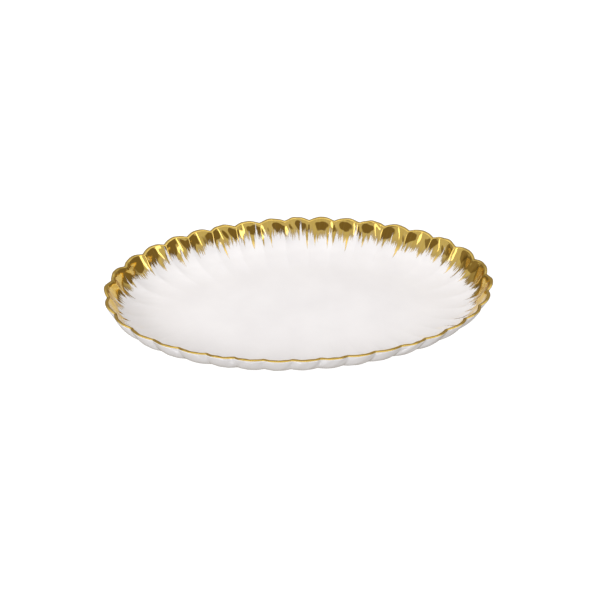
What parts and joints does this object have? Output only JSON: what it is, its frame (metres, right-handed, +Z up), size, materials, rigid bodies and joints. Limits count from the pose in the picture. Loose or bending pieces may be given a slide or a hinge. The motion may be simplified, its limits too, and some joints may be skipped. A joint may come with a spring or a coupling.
{
  "type": "serving platter",
  "caption": "Oval porcelain serving platter with a fluted wall, scalloped rim, low foot ring and gilded brush-stroke edge.",
  "frame": {"origin": "middle of the oval, on the plane that the foot ring rests on", "axes": "+X along the length of the platter, +Y across its width, +Z up out of the dish"},
  "size_m": [0.356, 0.2132, 0.0352],
  "materials": {
    "bisque": "matte",
    "glaze": "gloss",
    "gold": "gloss"
  },
  "bodies": {
    "root": {"porcelain_body": "bisque", "face_glaze": "glaze", "back_glaze": "glaze", "foot_well_glaze": "glaze", "gold_rim_band": "gold", "gold_brush_strokes": "gold"}
  },
  "joints": []
}
